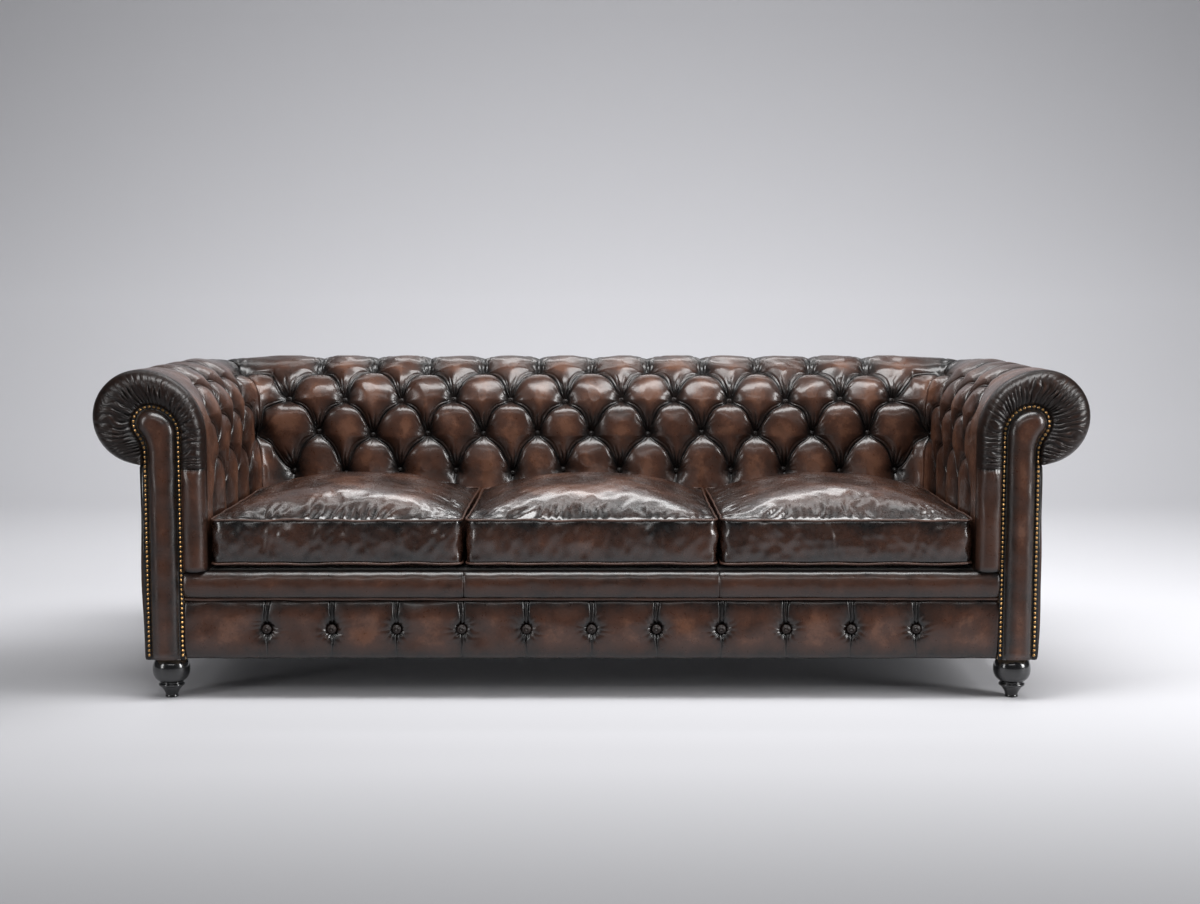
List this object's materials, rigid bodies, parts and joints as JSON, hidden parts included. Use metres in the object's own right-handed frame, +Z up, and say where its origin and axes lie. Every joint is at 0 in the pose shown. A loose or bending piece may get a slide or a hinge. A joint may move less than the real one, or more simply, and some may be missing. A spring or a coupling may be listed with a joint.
{
  "type": "three-seat chesterfield sofa",
  "caption": "Deep-buttoned leather sofa with rolled arms and back of one height, loose box cushions, nailed arm facings and turned feet.",
  "frame": {"origin": "on the floor under the middle of the sofa's bounding box", "axes": "+X along the seat to the right in a front view, +Y from the front to the back, +Z up"},
  "size_m": [2.268, 0.93, 0.76],
  "materials": {
    "leather": "antiqued, glossy",
    "cushion_leather": "antiqued, glossy",
    "button_leather": "antiqued, glossy",
    "piping_leather": "rubbed",
    "brass_nails": "antiqued",
    "black_wood": "gloss lacquer",
    "beech": "sawn",
    "plywood": "sawn",
    "foam": "open cell foam and fibre",
    "webbing": "woven",
    "spring_steel": "bright drawn",
    "deck_cloth": "woven",
    "cambric": "woven"
  },
  "bodies": {
    "sofa": {"front_rail": "beech", "rear_rail": "beech", "left_side_rail": "beech", "right_side_rail": "beech", "seat_cross_rails": "beech", "corner_blocks": "beech", "rear_posts": "beech", "arm_posts": "beech", "back_uprights": "beech", "back_top_rail": "beech", "left_arm_top_rail": "beech", "right_arm_top_rail": "beech", "tack_rails": "beech", "left_arm_front_board": "plywood", "right_arm_front_board": "plywood", "backing_boards": "plywood", "back_webbing": "webbing", "arm_webbing": "webbing", "seat_springs": "spring_steel", "spring_clips": "spring_steel", "foot_studs": "spring_steel", "seat_deck": "deck_cloth", "dust_cover": "cambric", "front_rail_cover": "leather", "front_border": "leather", "inside_back_cover": "leather", "left_inside_arm_cover": "leather", "right_inside_arm_cover": "leather", "outside_back_cover": "leather", "left_outside_arm_cover": "leather", "right_outside_arm_cover": "leather", "left_scroll_pleats": "leather", "right_scroll_pleats": "leather", "left_arm_lower_front": "leather", "right_arm_lower_front": "leather", "left_facing_panel": "leather", "right_facing_panel": "leather", "front_rail_buttons": "button_leather", "back_buttons": "button_leather", "left_arm_buttons": "button_leather", "right_arm_buttons": "button_leather", "front_border_piping": "piping_leather", "back_pad": "foam", "left_arm_pad": "foam", "right_arm_pad": "foam", "left_facing_nails": "brass_nails", "right_facing_nails": "brass_nails", "left_front_foot": "black_wood", "right_front_foot": "black_wood", "left_rear_foot": "black_wood", "right_rear_foot": "black_wood"},
    "left_cushion": {"left_cushion_cover": "cushion_leather", "left_cushion_core": "foam", "left_cushion_piping": "piping_leather"},
    "centre_cushion": {"centre_cushion_cover": "cushion_leather", "centre_cushion_core": "foam", "centre_cushion_piping": "piping_leather"},
    "right_cushion": {"right_cushion_cover": "cushion_leather", "right_cushion_core": "foam", "right_cushion_piping": "piping_leather"}
  },
  "joints": [
    {"name": "left_cushion_lift", "type": "slide", "parent": "sofa", "child": "left_cushion", "axis": [0, 0, 1], "range_m": [0, 0.3]},
    {"name": "centre_cushion_lift", "type": "slide", "parent": "sofa", "child": "centre_cushion", "axis": [0, 0, 1], "range_m": [0, 0.3]},
    {"name": "right_cushion_lift", "type": "slide", "parent": "sofa", "child": "right_cushion", "axis": [0, 0, 1], "range_m": [0, 0.3]}
  ]
}
